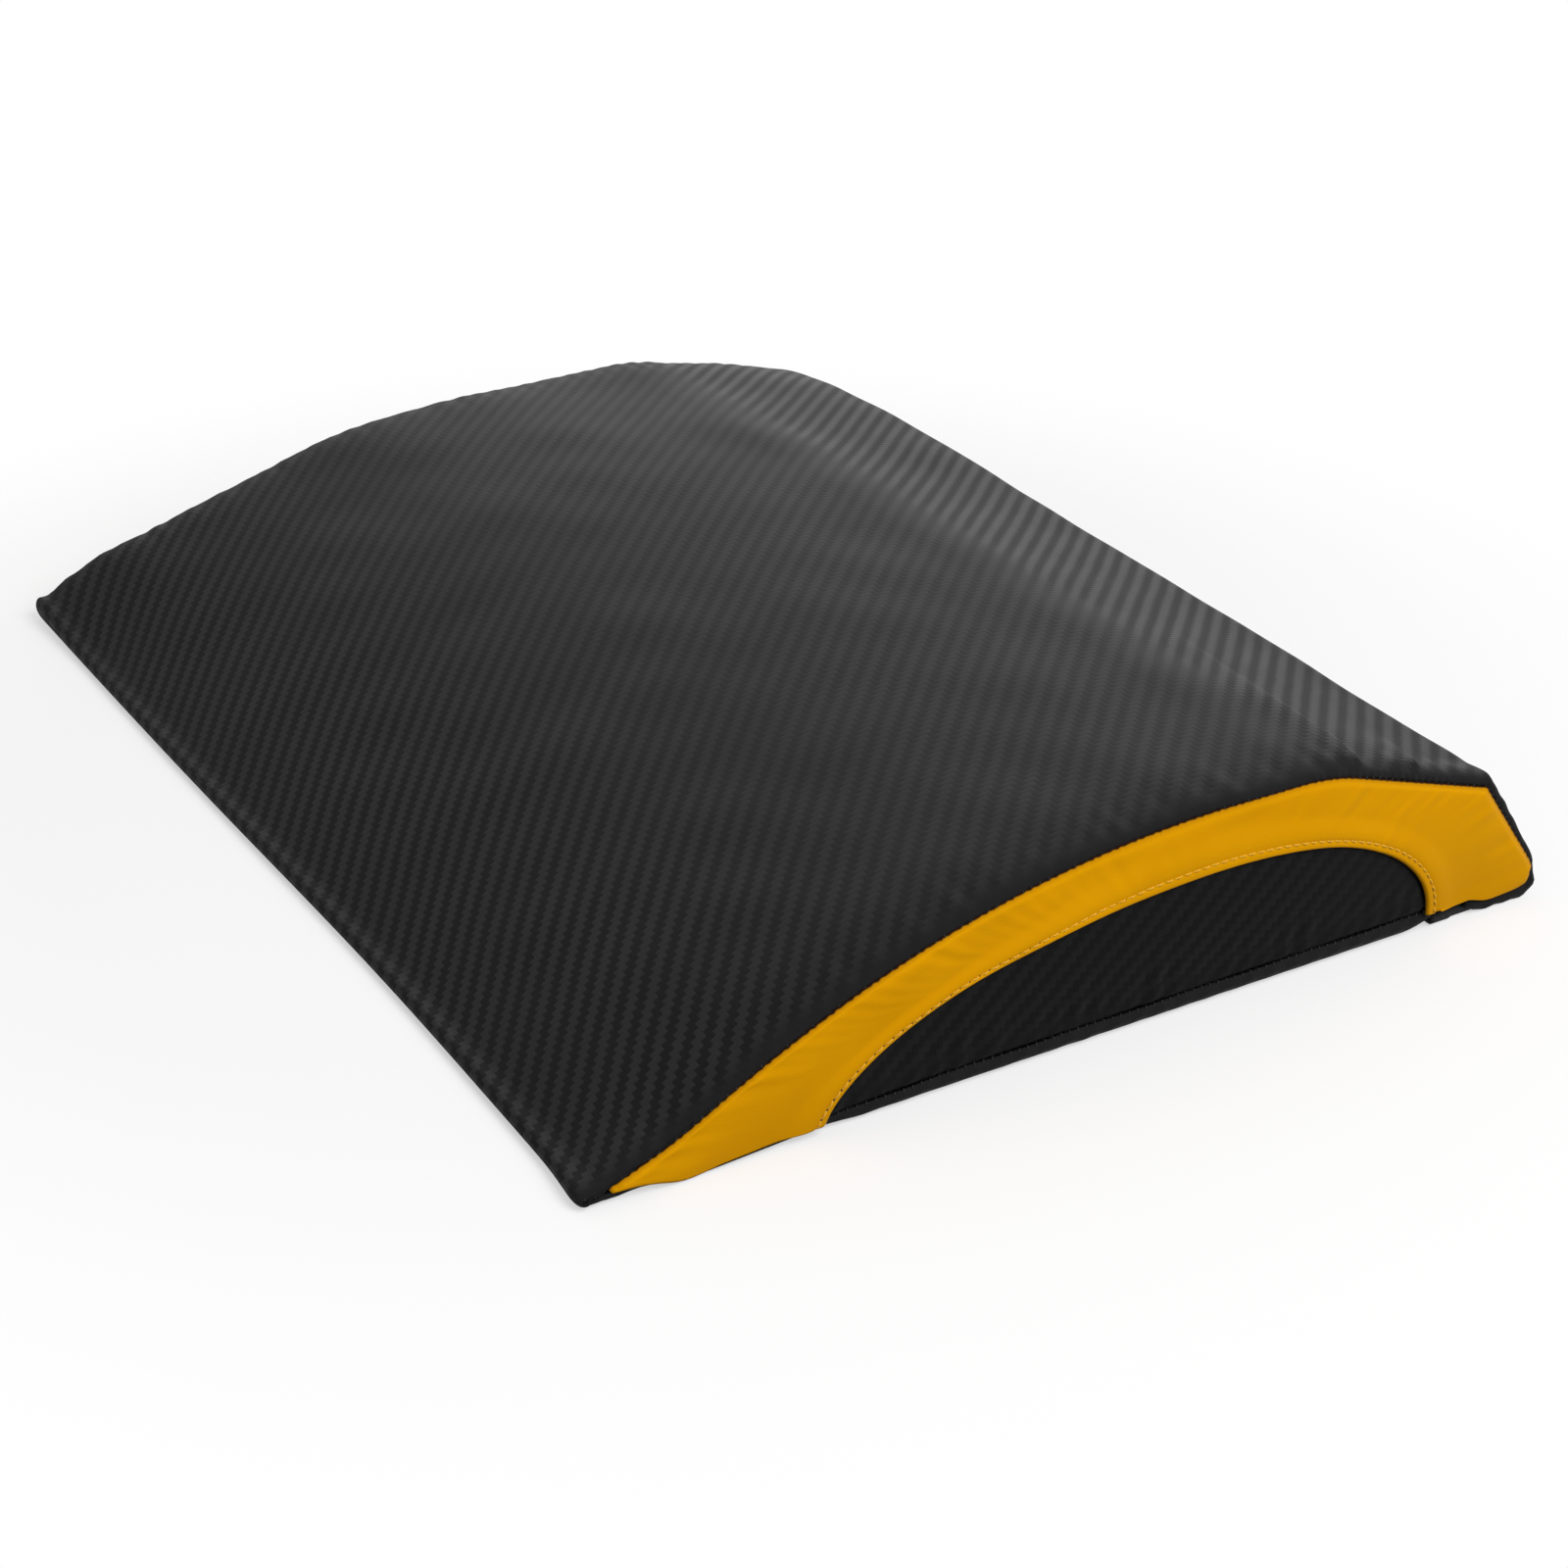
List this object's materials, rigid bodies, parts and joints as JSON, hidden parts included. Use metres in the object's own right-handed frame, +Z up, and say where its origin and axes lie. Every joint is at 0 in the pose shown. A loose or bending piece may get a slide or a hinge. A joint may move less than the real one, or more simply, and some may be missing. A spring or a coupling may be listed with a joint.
{
  "type": "ab mat",
  "caption": "Arched foam wedge for sit-ups in a sewn vinyl cover, with crescent side bands and a zip across its underside.",
  "frame": {"origin": "centre of the bounding box on the surface that the mat lies on", "axes": "+X from the thin front edge to the thick end, +Y across the mat to the side away from the viewer, +Z up"},
  "size_m": [0.305, 0.38, 0.0628],
  "materials": {
    "foam": "cut polyurethane foam, dark grey",
    "carbon_vinyl": "black vinyl embossed with a twill, satin",
    "base_vinyl": "black vinyl embossed with a twill, dull",
    "yellow_vinyl": "smooth amber yellow vinyl, satin",
    "zip_tape": "black woven tape",
    "zip_teeth": "black moulded plastic",
    "zip_metal": "black enamelled die-cast metal"
  },
  "bodies": {
    "mat": {"foam_core": "foam", "top_panel": "carbon_vinyl", "bottom_panel": "base_vinyl", "near_side_band": "yellow_vinyl", "far_side_band": "yellow_vinyl", "near_side_insert": "carbon_vinyl", "far_side_insert": "carbon_vinyl", "zip_front_tape": "zip_tape", "zip_rear_tape": "zip_tape", "zip_front_teeth": "zip_teeth", "zip_rear_teeth": "zip_teeth", "zip_start_stop": "zip_metal", "zip_front_end_stop": "zip_metal", "zip_rear_end_stop": "zip_metal", "zip_near_tab": "zip_tape", "zip_far_tab": "zip_tape"},
    "slider": {"zip_slider": "zip_metal"},
    "pull": {"zip_pull": "zip_metal"}
  },
  "joints": [
    {"name": "slider_run", "type": "slide", "parent": "mat", "child": "slider", "axis": [0, -1, 0], "range_m": [0, 0.3124]},
    {"name": "pull_swing", "type": "hinge", "parent": "slider", "child": "pull", "pos_m": [0.1205, 0.1562, 0.00195], "axis": [1, 0, 0], "range_deg": [0, 180]}
  ]
}
